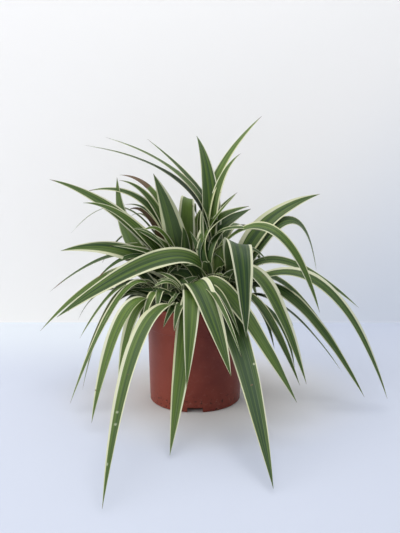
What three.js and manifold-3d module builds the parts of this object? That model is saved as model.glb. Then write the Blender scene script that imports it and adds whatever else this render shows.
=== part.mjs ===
// Potted spider plant: a thin plastic pot, its soil, and five plantlets of long arching leaves.
// Millimetres, +Z up. The origin is the middle of the pot's flat base; -Y is the side seen in front.

import * as THREE from 'three';
import { mergeVertices } from 'three/addons/utils/BufferGeometryUtils.js';
import Module from 'manifold-3d';

const wasm = await Module();
wasm.setup();
const { Manifold, Mesh } = wasm;

// Pot
const POT_HEIGHT = 120;
const BASE_RADIUS = 55;
const BODY_TOP_RADIUS = 57;
const RIM_RADIUS = 60;
const RIM_BOTTOM = 92;
const RIM_STEP = 1.5;
const WALL = 1.7;
const BASE_THICKNESS = 2.2;
const POT_SIDES = 48;

// Drain notches in the foot: each is a low recess under a raised patch of the base, with a hole in its roof
const NOTCH_DIRECTIONS = [0, 90, 180, 270];
const NOTCH_WIDTH = 18;
const NOTCH_HEIGHT = 6.2;
const NOTCH_INNER_RADIUS = 43;
const NOTCH_ROOF = 2;
const NOTCH_WALL = 1.6;
const DRAIN_RADIUS = 3.5;
const DRAIN_DISTANCE = 48.5;

// Soil
const SOIL_EDGE_HEIGHT = 104;
const SOIL_CROWN = 2;
const GAP = 0.3;

// Rootstock of a plantlet: a straight stub in its hole in the soil, and a short cone that the leaves sheathe
const STUB_RADIUS = 7;
const STUB_BOTTOM = 72;
const STUB_SIDES = 12;
const CROWN_TIP_RADIUS = 3;
const CROWN_TIP_RISE = 6;

// Leaf blade
const LEAF_STEP = 34;
const FEWEST_STEPS = 4;
const MOST_STEPS = 9;
const LEAF_START = 4;
const KEEL_THICKNESS = 1.4;
const CHANNEL = 0.25;
const BASE_WIDTH = 0.48;
const WIDEST = 0.4;
const TAPER = 2.6;
const TIP_HALF_WIDTH = 0.5;
const TWIST_LENGTH = 0.15;

const COLOURS = {
  pot: { color: 0x7d4634, roughness: 0.45, metalness: 0 },
  soil: { color: 0x33261c, roughness: 0.95, metalness: 0 },
  leaf: { color: 0x5c7a45, roughness: 0.5, metalness: 0 },
};

// One row a leaf, the oldest first:
// heading of the leaf seen from above in degrees (0 is +X, 90 is +Y), height where it starts,
// reach and height half way along, reach and height of the tip, sideways sway half way along,
// full width, and roll of the blade in degrees (positive lifts its left side)
const PLANTLETS = {
  middle: {
    x: 19,
    y: 6,
    leaves: [
      [282, 118, 112, 107, 263, 5, 3, 28, 10],
      [316, 115, 74, 165, 145, 50, -6, 27, 6],
      [300, 128, 14, 154, 49, 155, -8, 11, 0],
      [190, 143, 57, 174, 184, 107, 2, 27, -50],
      [330, 176, 85, 214, 140, 123, -13, 17, 25],
      [330, 146, 13, 178, 20, 200, 0, 19, -60],
      [62, 125, 50, 180, 140, 90, 0, 22, 0],
      [85, 125, 60, 200, 140, 100, 0, 22, 0],
      [325, 150, 12, 203, 84, 210, -3, 12, 20],
      [0, 148, -7, 203, 45, 234, -1, 21, 35],
      [24, 146, -3, 193, 53, 228, -1, 26, 35],
      [340, 148, -11, 188, 32, 251, -1, 16, 30],
      [159, 148, 30, 252, 167, 302, 0, 17, 0],
      [155, 150, 21, 250, 144, 312, 0, 17, 0],
      [45, 140, 36, 205, 90, 180, 0, 20, 0],
      [139, 150, 8, 225, 104, 309, -11, 14, 0],
      [42, 150, 9, 200, 43, 247, 17, 10, 10],
      [49, 152, 9, 249, 97, 337, 8, 15, 10],
      [40, 152, 9, 244, 47, 294, 1, 17, 15],
      [111, 154, 10, 252, 48, 314, -2, 27, 0],
      [140, 140, 19, 205, 12, 230, 0, 13, 0],
    ],
  },
  right: {
    x: 43,
    y: 10,
    leaves: [
      [275, 147, 95, 202, 133, 111, -3, 34, -16],
      [322, 122, 38, 120, 64, 70, 0, 11, 0],
      [317, 124, 66, 112, 98, 54, 0, 10, 0],
      [306, 126, 57, 122, 125, 47, 0, 15, 0],
      [350, 122, 63, 114, 136, 36, 0, 11, 0],
      [341, 124, 74, 128, 165, 15, -1, 20, 25],
      [348, 124, 48, 150, 114, 92, 0, 15, 15],
      [25, 122, 45, 132, 90, 75, 0, 14, 0],
      [50, 122, 55, 140, 115, 60, 0, 16, 0],
      [75, 122, 60, 150, 120, 60, 0, 16, 0],
      [342, 128, 108, 149, 191, 15, -7, 20, 25],
      [2, 130, 58, 167, 157, 108, -1, 18, 25],
      [345, 130, 16, 180, 44, 170, 0, 12, 20],
      [55, 128, 40, 170, 75, 150, 0, 16, 0],
      [15, 135, 71, 213, 111, 150, -2, 22, 28],
      [21, 136, 40, 207, 119, 243, -1, 26, 45],
    ],
  },
  front: {
    x: -8,
    y: -20,
    leaves: [
      [311, 118, 56, 153, 174, 50, -2, 27, 5],
      [250, 110, 36, 130, 77, 113, 0, 12, 0],
      [262, 110, 45, 133, 98, 116, -1, 13, 0],
      [232, 112, 20, 134, 40, 123, 0, 9, 0],
      [165, 112, 8, 130, 20, 132, 0, 9, 0],
      [280, 114, 22, 142, 50, 134, 0, 12, 0],
      [312, 114, 24, 142, 48, 134, 0, 12, 0],
      [335, 114, 18, 138, 36, 134, 0, 11, 0],
      [205, 118, 20, 148, 44, 146, 0, 13, -20],
      [190, 120, 16, 146, 36, 152, 0, 14, -20],
      [168, 120, 16, 148, 40, 158, 0, 13, -20],
      [264, 112, 58, 127, 159, 4, 8, 26, 0],
      [255, 112, 141, 127, 278, 5, -9, 20, 0],
      [270, 116, 65, 146, 127, 65, 5, 22, 0],
      [300, 118, 55, 154, 112, 111, 0, 11, 0],
      [291, 122, 68, 154, 155, 104, 0, 9, 0],
      [289, 124, 62, 155, 141, 79, -6, 29, 12],
    ],
  },
  left: {
    x: -38,
    y: -8,
    leaves: [
      [234, 114, 71, 122, 127, 11, 1, 21, 0],
      [226, 112, 42, 120, 72, 41, 0, 16, -20],
      [240, 116, 16, 132, 47, 103, 0, 9, 0],
      [235, 114, 27, 128, 50, 96, 0, 7, 0],
      [265, 116, 25, 140, 54, 122, 0, 11, 0],
      [250, 116, 28, 138, 62, 108, 0, 12, 0],
      [202, 116, 48, 140, 116, 10, 4, 15, -10],
      [200, 118, 59, 124, 100, 24, 2, 9, 0],
      [195, 118, 44, 146, 100, 84, 0, 12, -10],
      [187, 122, 63, 138, 101, 102, 0, 8, 0],
      [150, 116, 55, 132, 120, 30, 0, 14, 0],
      [120, 116, 50, 135, 110, 40, 0, 14, 0],
      [202, 124, 20, 147, 50, 136, 0, 13, -20],
      [170, 126, 33, 158, 70, 152, 0, 14, -40],
      [75, 120, 8, 142, 22, 150, 0, 11, 0],
    ],
  },
  back: {
    x: -12,
    y: 34,
    leaves: [
      [189, 122, 78, 153, 179, 81, 1, 16, -30],
      [110, 120, 60, 180, 140, 60, 0, 20, 0],
      [75, 120, 60, 185, 145, 65, 0, 20, 0],
      [135, 122, 60, 180, 135, 85, 0, 18, 0],
      [195, 124, 56, 171, 111, 144, 0, 11, -30],
      [240, 126, 22, 158, 46, 148, 0, 12, 0],
      [258, 126, 20, 158, 42, 158, 0, 13, 0],
      [280, 128, 14, 160, 30, 168, 0, 12, 0],
      [175, 124, 72, 170, 172, 120, 0, 12, -20],
      [195, 126, 30, 167, 91, 186, 0, 12, -35],
      [190, 126, 72, 175, 151, 180, 0, 27, -55],
      [175, 130, 22, 172, 86, 181, 0, 14, -40],
      [221, 130, 39, 190, 80, 211, 0, 15, -30],
      [165, 128, 72, 223, 151, 191, 0, 8, 0],
      [190, 130, 65, 211, 123, 237, 0, 17, -50],
      [155, 128, 60, 195, 120, 150, 0, 16, 0],
      [130, 132, 35, 212, 78, 230, 0, 16, 0],
      [152, 134, 45, 205, 80, 212, 0, 16, 0],
      [160, 132, 38, 211, 83, 228, 0, 11, -20],
      [160, 132, 42, 209, 77, 222, 0, 18, -30],
      [170, 134, 47, 230, 125, 246, 0, 17, -30],
      [151, 135, 36, 233, 96, 264, 0, 15, -25],
      [167, 136, 37, 227, 84, 260, 0, 18, -30],
      [190, 134, 18, 174, 63, 205, 0, 18, -40],
      [181, 136, 81, 220, 163, 263, -1, 22, -45],
      [170, 136, 65, 178, 85, 264, 0, 32, 60],
      [75, 138, 22, 222, 52, 212, 0, 16, 0],
      [85, 140, 18, 232, 66, 206, 0, 25, 20],
      [60, 136, 23, 198, 41, 224, 0, 20, 20],
      [80, 138, 8, 172, 36, 211, 3, 7, 0],
      [200, 140, 18, 212, 40, 271, 0, 32, 60],
      [210, 136, 28, 196, 57, 205, 0, 16, -45],
    ],
  },
};

const DEGREE = Math.PI / 180;

// Turns a closed three.js geometry into a solid
function solidFrom(geometry) {
  const bare = geometry.clone();
  bare.deleteAttribute('normal');
  bare.deleteAttribute('uv');
  const merged = mergeVertices(bare, 1e-4);
  return new Manifold(new Mesh({
    numProp: 3,
    vertProperties: new Float32Array(merged.attributes.position.array),
    triVerts: new Uint32Array(merged.index.array),
  }));
}

// Turns a solid back into a geometry
function geometryFrom(solid) {
  const mesh = solid.getMesh();
  const geometry = new THREE.BufferGeometry();
  geometry.setAttribute('position', new THREE.BufferAttribute(new Float32Array(mesh.vertProperties), 3));
  geometry.setIndex(new THREE.BufferAttribute(new Uint32Array(mesh.triVerts), 1));
  geometry.computeVertexNormals();
  return geometry;
}

// Round solid from a list of [radius, height] points that starts and ends on the Z axis
function turned(points, sides) {
  const profile = points.map(([radius, height]) => new THREE.Vector2(radius, height));
  const geometry = new THREE.LatheGeometry(profile, sides);
  geometry.rotateX(Math.PI / 2);
  return solidFrom(geometry);
}

// Box that reaches from one radius to another along a direction, centred on that direction
function radialBox(direction, inner, outer, width, bottom, top) {
  const geometry = new THREE.BoxGeometry(outer - inner, width, top - bottom);
  geometry.translate((inner + outer) / 2, 0, (bottom + top) / 2);
  geometry.rotateZ(direction * DEGREE);
  return solidFrom(geometry);
}

function uprightCylinder(x, y, radius, bottom, top, sides) {
  const geometry = new THREE.CylinderGeometry(radius, radius, top - bottom, sides);
  geometry.rotateX(Math.PI / 2);
  geometry.translate(x, y, (bottom + top) / 2);
  return solidFrom(geometry);
}

// Pot: a turned shell with a stepped rim band, then the notches, their raised roofs and the drain holes
function makePot() {
  let pot = turned([
    [0, 0],
    [BASE_RADIUS - 0.8, 0],
    [BASE_RADIUS, 0.8],
    [BODY_TOP_RADIUS, RIM_BOTTOM],
    [BODY_TOP_RADIUS + RIM_STEP, RIM_BOTTOM + 0.6],
    [RIM_RADIUS - 0.2, POT_HEIGHT - 1.2],
    [RIM_RADIUS, POT_HEIGHT - 0.6],
    [RIM_RADIUS - 0.5, POT_HEIGHT],
    [RIM_RADIUS - WALL + 0.4, POT_HEIGHT],
    [RIM_RADIUS - WALL - 0.1, POT_HEIGHT - 0.7],
    [BODY_TOP_RADIUS + RIM_STEP - WALL, RIM_BOTTOM + 1.8],
    [BODY_TOP_RADIUS - WALL, RIM_BOTTOM + 0.4],
    [BASE_RADIUS - WALL, BASE_THICKNESS],
    [0, BASE_THICKNESS],
  ], POT_SIDES);
  const outer = BASE_RADIUS - WALL + 0.1;
  for (const direction of NOTCH_DIRECTIONS) {
    const roof = radialBox(direction, NOTCH_INNER_RADIUS - NOTCH_WALL, outer,
      NOTCH_WIDTH + 2 * NOTCH_WALL, BASE_THICKNESS / 2, NOTCH_HEIGHT + NOTCH_ROOF);
    pot = pot.add(roof);
  }
  for (const direction of NOTCH_DIRECTIONS) {
    const recess = radialBox(direction, NOTCH_INNER_RADIUS, RIM_RADIUS, NOTCH_WIDTH, -1, NOTCH_HEIGHT);
    const x = DRAIN_DISTANCE * Math.cos(direction * DEGREE);
    const y = DRAIN_DISTANCE * Math.sin(direction * DEGREE);
    const hole = uprightCylinder(x, y, DRAIN_RADIUS, 1, NOTCH_HEIGHT + NOTCH_ROOF + 1, 16);
    pot = pot.subtract(recess).subtract(hole);
  }
  return pot;
}

// Soil: fills the pot up to just under the rim, with a plain hole for each rootstock
function makeSoil() {
  const wallAt = (height) => {
    const share = (height - RIM_BOTTOM - 1.8) / (POT_HEIGHT - 0.7 - RIM_BOTTOM - 1.8);
    const low = BODY_TOP_RADIUS + RIM_STEP - WALL;
    const high = RIM_RADIUS - WALL - 0.1;
    return low + (high - low) * share;
  };
  let soil = turned([
    [0, BASE_THICKNESS + GAP],
    [BASE_RADIUS - WALL - GAP, BASE_THICKNESS + GAP],
    [BODY_TOP_RADIUS - WALL - GAP, RIM_BOTTOM + 0.6],
    [BODY_TOP_RADIUS + RIM_STEP - WALL - GAP, RIM_BOTTOM + 2.1],
    [wallAt(SOIL_EDGE_HEIGHT) - GAP, SOIL_EDGE_HEIGHT],
    [38, SOIL_EDGE_HEIGHT + 0.6 * SOIL_CROWN],
    [0, SOIL_EDGE_HEIGHT + SOIL_CROWN],
  ], POT_SIDES);
  for (const direction of NOTCH_DIRECTIONS) {
    const room = radialBox(direction, NOTCH_INNER_RADIUS - NOTCH_WALL - GAP, RIM_RADIUS,
      NOTCH_WIDTH + 2 * NOTCH_WALL + 2 * GAP, 0, NOTCH_HEIGHT + NOTCH_ROOF + GAP);
    soil = soil.subtract(room);
  }
  for (const { x, y } of Object.values(PLANTLETS)) {
    soil = soil.subtract(uprightCylinder(x, y, STUB_RADIUS + GAP, STUB_BOTTOM - GAP, POT_HEIGHT, 20));
  }
  return soil;
}

function smooth(value) {
  const t = Math.min(Math.max(value, 0), 1);
  return t * t * (3 - 2 * t);
}

// Leaf: the midrib is a parabola arc from the crown through the half-way point to the tip,
// and the blade is a shallow channel along it, thickest at the keel, that narrows to the tip
function makeLeaf(x, y, row) {
  const [heading, start, midReach, midHeight, tipReach, tipHeight, sway, width, roll] = row;
  const out = new THREE.Vector3(Math.cos(heading * DEGREE), Math.sin(heading * DEGREE), 0);
  const left = new THREE.Vector3(-out.y, out.x, 0);
  const at = (reach, height, side) => new THREE.Vector3(x, y, height)
    .addScaledVector(out, reach)
    .addScaledVector(left, side);
  const first = at(LEAF_START, start, 0);
  const middle = at(midReach, midHeight, sway);
  const last = at(tipReach, tipHeight, 0);
  const control = middle.clone().multiplyScalar(2)
    .addScaledVector(first, -0.5)
    .addScaledVector(last, -0.5);
  const midrib = new THREE.QuadraticBezierCurve3(first, control, last);
  midrib.arcLengthDivisions = 200;

  const wanted = Math.round(midrib.getLength() / LEAF_STEP);
  const steps = Math.min(Math.max(wanted, FEWEST_STEPS), MOST_STEPS);

  const positions = [];
  for (let i = 0; i <= steps; i += 1) {
    const u = i / steps;
    const centre = midrib.getPointAt(u);
    const tangent = midrib.getTangentAt(u);
    const flat = left.clone().addScaledVector(tangent, -left.dot(tangent)).normalize();
    const upper = new THREE.Vector3().crossVectors(tangent, flat);
    const turn = roll * DEGREE * smooth(u / TWIST_LENGTH);
    const across = flat.clone().multiplyScalar(Math.cos(turn)).addScaledVector(upper, Math.sin(turn));
    const normal = upper.multiplyScalar(Math.cos(turn)).addScaledVector(flat, -Math.sin(turn));
    const profile = (BASE_WIDTH + (1 - BASE_WIDTH) * smooth(u / WIDEST)) * (1 - u ** TAPER);
    const half = Math.max(width / 2 * profile, TIP_HALF_WIDTH);
    const lift = CHANNEL * half * (1 - 0.5 * u);
    const put = (side, height) => {
      const point = centre.clone().addScaledVector(across, side).addScaledVector(normal, height);
      positions.push(point.x, point.y, point.z);
    };
    put(half, lift);
    put(0, KEEL_THICKNESS / 2);
    put(-half, lift);
    put(0, -KEEL_THICKNESS / 2);
  }

  // Faces run round the four-cornered section, split along the same diagonals above and below
  const indices = [];
  const leans = [true, false, true, false];
  for (let i = 0; i < steps; i += 1) {
    for (let k = 0; k < 4; k += 1) {
      const a = 4 * i + k;
      const b = 4 * i + (k + 1) % 4;
      const c = a + 4;
      const d = b + 4;
      if (leans[k]) indices.push(a, b, c, b, d, c);
      else indices.push(a, b, d, a, d, c);
    }
  }
  const end = 4 * steps;
  indices.push(0, 3, 1, 1, 3, 2);
  indices.push(end, end + 1, end + 3, end + 1, end + 2, end + 3);
  const geometry = new THREE.BufferGeometry();
  geometry.setAttribute('position', new THREE.Float32BufferAttribute(positions, 3));
  geometry.setIndex(indices);
  return solidFrom(geometry);
}

// Plantlet: the rootstock and its leaves joined in one body
function makePlantlet({ x, y, leaves }) {
  const crownTop = Math.max(...leaves.map((row) => row[1]));
  const stock = turned([
    [0, STUB_BOTTOM],
    [STUB_RADIUS, STUB_BOTTOM],
    [STUB_RADIUS, SOIL_EDGE_HEIGHT + 4],
    [STUB_RADIUS - 1, crownTop - 4],
    [CROWN_TIP_RADIUS, crownTop + CROWN_TIP_RISE],
    [0, crownTop + CROWN_TIP_RISE],
  ], STUB_SIDES).translate([x, y, 0]);
  const solids = [stock, ...leaves.map((row) => makeLeaf(x, y, row))];
  const bodies = Manifold.union(solids).decompose().filter((body) => body.volume() > 0);
  bodies.sort((one, other) => other.volume() - one.volume());
  return bodies[0];
}

const group = new THREE.Group();

function place(name, solid, look) {
  const mesh = new THREE.Mesh(geometryFrom(solid), new THREE.MeshStandardMaterial(look));
  mesh.name = name;
  group.add(mesh);
}

place('pot', makePot(), COLOURS.pot);
place('soil', makeSoil(), COLOURS.soil);
for (const [name, plantlet] of Object.entries(PLANTLETS)) {
  place(`plantlet_${name}`, makePlantlet(plantlet), COLOURS.leaf);
}

export default group;
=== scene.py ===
import math

import bpy
import numpy as np
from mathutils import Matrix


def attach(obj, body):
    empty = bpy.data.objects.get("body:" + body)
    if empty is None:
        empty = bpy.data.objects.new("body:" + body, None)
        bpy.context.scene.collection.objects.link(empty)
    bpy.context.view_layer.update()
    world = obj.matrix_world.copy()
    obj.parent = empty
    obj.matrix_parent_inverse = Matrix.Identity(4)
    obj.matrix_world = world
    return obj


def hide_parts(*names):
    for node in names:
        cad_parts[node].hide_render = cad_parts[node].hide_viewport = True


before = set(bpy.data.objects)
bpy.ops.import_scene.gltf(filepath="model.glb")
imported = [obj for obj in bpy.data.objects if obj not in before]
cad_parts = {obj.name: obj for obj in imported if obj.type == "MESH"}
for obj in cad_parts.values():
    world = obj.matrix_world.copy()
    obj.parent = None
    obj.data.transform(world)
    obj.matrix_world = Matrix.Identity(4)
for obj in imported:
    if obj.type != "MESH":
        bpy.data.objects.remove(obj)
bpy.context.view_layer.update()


# Pot
# A thin round grower's pot, injection moulded in one piece from terracotta-coloured plastic.
# A broad rim band steps out above the body, and four drain recesses are let into the foot.
MM = 0.001  # metres in a millimetre, the unit of the sizes here
POT_HEIGHT = 120
BASE_RADIUS = 55
BODY_TOP_RADIUS = 57
RIM_RADIUS = 60
RIM_BOTTOM = 92
RIM_STEP = 1.5
WALL = 1.7
BASE_THICKNESS = 2.2
NOTCHES = 4
NOTCH_SPACING = 2 * math.pi / NOTCHES
NOTCH_WIDTH = 18
NOTCH_HEIGHT = 6.2
NOTCH_INNER_RADIUS = 43
NOTCH_ROOF = 2
NOTCH_WALL = 1.6
DRAIN_RADIUS = 3.5
DRAIN_DISTANCE = 48.5
DISH_RADIUS = 20
DISH_HEIGHT = 0.4
CORNER_EASE = 0.9
NOTCH_COLUMNS = 9
WALL_COLUMNS = 38
# painted window light on the pot: none from here on the right, full at the left, in millimetres across
POT_PAINTED_LIGHT_RIGHT = 20
POT_PAINTED_LIGHT_LEFT = -45
SCUFF_TOP = 30
CRUMB_TOP = 26
CRUMB_FULL = 4
SATIN_TERRACOTTA = (0.268, 0.056, 0.034, 1)
TERRACOTTA_DEEP = (0.150, 0.028, 0.019, 1)
SCUFFED_TERRACOTTA = (0.30, 0.13, 0.10, 1)
CRUMB_BROWN = (0.020, 0.014, 0.010, 1)


def ring_faces(rings, points):
    """Quads between rings of a turned shape, listed from the middle underneath outwards, up and in."""
    row = np.arange(rings - 1)[:, None] * points
    here = row + np.arange(points)
    beside = row + np.roll(np.arange(points), -1)
    return np.stack([here, beside, beside + points, here + points], axis=-1).reshape(-1, 4)


def new_piece(name, points, faces, material, smooth_below=40):
    """Mesh object from points in millimetres, smooth except across edges sharper than so many degrees."""
    mesh = bpy.data.meshes.new(name)
    mesh.vertices.add(len(points))
    mesh.vertices.foreach_set("co", (np.asarray(points) * MM).astype(np.float32).ravel())
    corners = np.asarray(faces, np.int32)
    mesh.loops.add(corners.size)
    mesh.loops.foreach_set("vertex_index", corners.ravel())
    mesh.polygons.add(len(corners))
    mesh.polygons.foreach_set("loop_start", np.arange(len(corners), dtype=np.int32) * corners.shape[1])
    mesh.update(calc_edges=True)
    mesh.validate()
    mesh.shade_smooth()
    mesh.set_sharp_from_angle(angle=math.radians(smooth_below))
    mesh.materials.append(material)
    piece = bpy.data.objects.new(name, mesh)
    bpy.context.scene.collection.objects.link(piece)
    return piece


def rounded(profile, reach, most=0.34, steps=4):
    """Profile whose inner corners are eased: each is the quadratic curve between the points at most reach
    away on its two sides, or the share most of the way along a shorter side."""
    profile = np.asarray(profile, float)
    before, corner, after = profile[:-2], profile[1:-1], profile[2:]
    back = before - corner
    ahead = after - corner
    back_length = np.linalg.norm(back, axis=1, keepdims=True)
    ahead_length = np.linalg.norm(ahead, axis=1, keepdims=True)
    start = corner + back * np.minimum(reach / back_length, most)
    end = corner + ahead * np.minimum(reach / ahead_length, most)
    t = np.linspace(0, 1, steps + 1)[None, :, None]
    eased = (1 - t) ** 2 * start[:, None] + 2 * t * (1 - t) * corner[:, None] + t**2 * end[:, None]
    return np.vstack([profile[:1], eased.reshape(-1, 2), profile[-1:]])


def pot_shell():
    """Points and quads of the pot. The profile is turned about the upright axis in columns. Those beside a
    drain recess follow its parallel sides, and inside one the underside is lifted to the recess's roof.
    Two radii that nearly meet make a wall of the recess stand upright."""
    wall_low = BASE_RADIUS - WALL
    lip = BODY_TOP_RADIUS + RIM_STEP
    edge = 0.02
    underside = np.array([
        [0, DISH_HEIGHT],
        [DISH_RADIUS, DISH_HEIGHT],
        [NOTCH_INNER_RADIUS - NOTCH_WALL - edge, 0],
        [NOTCH_INNER_RADIUS - edge, 0],
        [NOTCH_INNER_RADIUS + edge, 0],
        [BASE_RADIUS - 1, 0],
    ])
    outside = rounded([
        [BASE_RADIUS - 1, 0],
        [BASE_RADIUS, 0.8],
        [BASE_RADIUS + 0.15, 6],
        [BASE_RADIUS + 0.65, 28],
        [BODY_TOP_RADIUS - 0.7, 60],
        [BODY_TOP_RADIUS - 0.1, RIM_BOTTOM - 2.4],
        [BODY_TOP_RADIUS, RIM_BOTTOM],
        [lip - 0.2, RIM_BOTTOM + 0.1],
        [lip, RIM_BOTTOM + 1.2],
        [lip + 0.5, RIM_BOTTOM + 10],
        [RIM_RADIUS - 0.45, POT_HEIGHT - 3.2],
        [RIM_RADIUS, POT_HEIGHT - 2.6],
        [RIM_RADIUS, POT_HEIGHT - 0.6],
        [RIM_RADIUS - 0.5, POT_HEIGHT],
        [RIM_RADIUS - WALL + 0.4, POT_HEIGHT],
        [RIM_RADIUS - WALL - 0.1, POT_HEIGHT - 0.7],
        [RIM_RADIUS - WALL - 0.6, POT_HEIGHT - 12],
        [lip - WALL, RIM_BOTTOM + 1.8],
        [BODY_TOP_RADIUS - WALL, RIM_BOTTOM + 0.4],
        [BODY_TOP_RADIUS - WALL - 0.7, 60],
        [wall_low + 0.1, 12],
        [wall_low, BASE_THICKNESS],
    ], CORNER_EASE)
    inside = np.array([
        [wall_low - edge, BASE_THICKNESS],
        [NOTCH_INNER_RADIUS - NOTCH_WALL + edge, BASE_THICKNESS],
        [NOTCH_INNER_RADIUS - NOTCH_WALL - edge, BASE_THICKNESS],
        [DISH_RADIUS, BASE_THICKNESS],
        [0, BASE_THICKNESS],
    ])
    profile = np.vstack([underside, outside[1:-1], inside])
    radius = profile[:, 0][:, None]
    height = profile[:, 1][:, None]

    beside_notch = 0.0005
    within = np.linspace(-1, 1, NOTCH_COLUMNS)
    wall_turn = np.linspace(0, 1, WALL_COLUMNS)[1:-1]
    between = np.concatenate([[beside_notch], wall_turn, [1 - beside_notch]])
    spot = np.concatenate([within, 1 + between])
    spot_all = np.tile(spot, NOTCHES)[None, :]
    turn = np.repeat(np.arange(NOTCHES) * NOTCH_SPACING, len(spot))[None, :]

    def columns(half_width):
        """Angle of every point, with the columns beside a recess at half its width from its middle line."""
        half = np.arcsin(half_width / np.maximum(radius, NOTCH_INNER_RADIUS - NOTCH_WALL))
        inner = spot_all * half
        outer = half + (spot_all - 1) * (NOTCH_SPACING - 2 * half)
        return turn + np.where(spot_all <= 1, inner, outer)

    is_inside = np.arange(len(profile))[:, None] >= len(profile) - len(inside)
    angle = np.where(is_inside, columns(NOTCH_WIDTH / 2 + NOTCH_WALL), columns(NOTCH_WIDTH / 2))
    in_notch = np.abs(spot_all) <= 1
    under = in_notch & (radius > NOTCH_INNER_RADIUS) & (height < NOTCH_HEIGHT) & ~is_inside
    near_base = np.arange(len(profile))[:, None] >= len(profile) - len(inside) - 1
    low = height < BASE_THICKNESS + 0.1
    roof = in_notch & (radius > NOTCH_INNER_RADIUS - NOTCH_WALL) & low & near_base
    height = np.where(under, NOTCH_HEIGHT, np.where(roof, NOTCH_HEIGHT + NOTCH_ROOF, height))
    points = np.stack([radius * np.cos(angle), radius * np.sin(angle), height], axis=-1).reshape(-1, 3)
    return points, ring_faces(len(profile), len(spot) * NOTCHES)


def node(tree, kind, inputs=(), **settings):
    """Shader node of a kind. Each input is a value, or the output of another node that feeds it."""
    made = tree.nodes.new(kind)
    for key, value in settings.items():
        setattr(made, key, value)
    for key, value in dict(inputs).items():
        if isinstance(value, bpy.types.NodeSocket):
            tree.links.new(value, made.inputs[key])
        else:
            made.inputs[key].default_value = value
    return made


def maths(tree, operation, first, second):
    """Output of a Math node on two numbers or sockets."""
    return node(tree, "ShaderNodeMath", {0: first, 1: second}, operation=operation).outputs[0]


def scaled(tree, value, factor, offset=0.0):
    """Output that is a value times a factor, plus an offset."""
    inputs = {0: value, 1: factor, 2: offset}
    return node(tree, "ShaderNodeMath", inputs, operation="MULTIPLY_ADD").outputs[0]


def ease(tree, value, start, end, low=0.0, high=1.0):
    """Smooth step of a value from low at start to high at end."""
    inputs = {"Value": value, "From Min": start, "From Max": end, "To Min": low, "To Max": high}
    return node(tree, "ShaderNodeMapRange", inputs, interpolation_type="SMOOTHSTEP").outputs[0]


def blend(tree, share, first, second):
    """Colour that goes from the first to the second with the share."""
    return node(tree, "ShaderNodeMix", {0: share, 6: first, 7: second}, data_type="RGBA").outputs[2]


def noise(tree, vector, scale, detail, roughness=0.5):
    """Output of a noise texture, about 0.5 on average."""
    inputs = {"Vector": vector, "Scale": scale, "Detail": detail, "Roughness": roughness}
    return node(tree, "ShaderNodeTexNoise", inputs).outputs[0]


def new_group(name, numbers, outputs):
    """Empty shader node group with a Vector input, named number inputs with their usual values, and named
    outputs."""
    group = bpy.data.node_groups.new(name, "ShaderNodeTree")
    group.interface.new_socket("Vector", in_out="INPUT", socket_type="NodeSocketVector")
    for key, value in numbers.items():
        socket = group.interface.new_socket(key, in_out="INPUT", socket_type="NodeSocketFloat")
        socket.default_value = value
    for key in outputs:
        group.interface.new_socket(key, in_out="OUTPUT", socket_type="NodeSocketFloat")
    return group, group.nodes.new("NodeGroupInput").outputs, group.nodes.new("NodeGroupOutput").inputs


def mottle_group():
    """Shared cloudy unevenness: broad patches and fine grain, each from noise, as two values from 0 to 1."""
    numbers = {"Patch Scale": 30.0, "Grain Scale": 900.0}
    group, given, taken = new_group("mottle", numbers, ["Patches", "Grain"])
    broad = noise(group, given["Vector"], given["Patch Scale"], detail=4.0)
    fine = noise(group, given["Vector"], given["Grain Scale"], detail=2.0)
    group.links.new(ease(group, broad, 0.32, 0.68), taken["Patches"])
    group.links.new(ease(group, fine, 0.3, 0.7), taken["Grain"])
    return group


mottle = mottle_group()


def place_group(tree, group, vector, **numbers):
    """Outputs of a shared group placed in a material with its own values."""
    made = node(tree, "ShaderNodeGroup", node_tree=group)
    tree.links.new(vector, made.inputs["Vector"])
    for key, value in numbers.items():
        made.inputs[key.replace("_", " ")].default_value = value
    return made.outputs


def new_material(name):
    """Material with its node tree and its Principled shader."""
    material = bpy.data.materials.new(name)
    material.use_nodes = True
    return material, material.node_tree, material.node_tree.nodes["Principled BSDF"]


def terracotta_plastic():
    """Satin plastic: cloudy colour, lighter on the left as painted light from the window, with pale scuffs,
    crumbs of soil stuck near the foot, and a fine moulded grain."""
    material, tree, surface = new_material("terracotta_plastic")
    place = node(tree, "ShaderNodeTexCoord").outputs["Object"]
    across, _, height = node(tree, "ShaderNodeSeparateXYZ", {0: place}).outputs
    cloud = place_group(tree, mottle, place, Patch_Scale=38.0, Grain_Scale=1500.0)
    # painted window light: the pot is lighter towards its left side
    painted_window_light = ease(tree, across, POT_PAINTED_LIGHT_RIGHT * MM, POT_PAINTED_LIGHT_LEFT * MM, 0.0, 0.7)
    mottle_and_painted_light = maths(tree, "ADD", painted_window_light, scaled(tree, cloud["Patches"], 0.3))
    colour = blend(tree, mottle_and_painted_light, TERRACOTTA_DEEP, SATIN_TERRACOTTA)
    rubbed = ease(tree, noise(tree, place, scale=260.0, detail=3.0, roughness=0.7), 0.56, 0.70)
    scuff_share = ease(tree, height, SCUFF_TOP * MM, 0.0, 0.125, 0.625)
    colour = blend(tree, maths(tree, "MULTIPLY", rubbed, scuff_share), colour, SCUFFED_TERRACOTTA)
    crumb = ease(tree, noise(tree, place, scale=330.0, detail=1.0), 0.64, 0.68)
    crumb_share = ease(tree, height, CRUMB_TOP * MM, CRUMB_FULL * MM)
    colour = blend(tree, maths(tree, "MULTIPLY", crumb, crumb_share), colour, CRUMB_BROWN)
    tree.links.new(colour, surface.inputs["Base Color"])
    tree.links.new(scaled(tree, cloud["Grain"], 0.14, 0.34), surface.inputs["Roughness"])
    surface.inputs["Specular IOR Level"].default_value = 0.2
    bump = node(tree, "ShaderNodeBump", {"Height": cloud["Grain"], "Strength": 0.12, "Distance": 0.0003})
    tree.links.new(bump.outputs[0], surface.inputs["Normal"])
    return material


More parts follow.
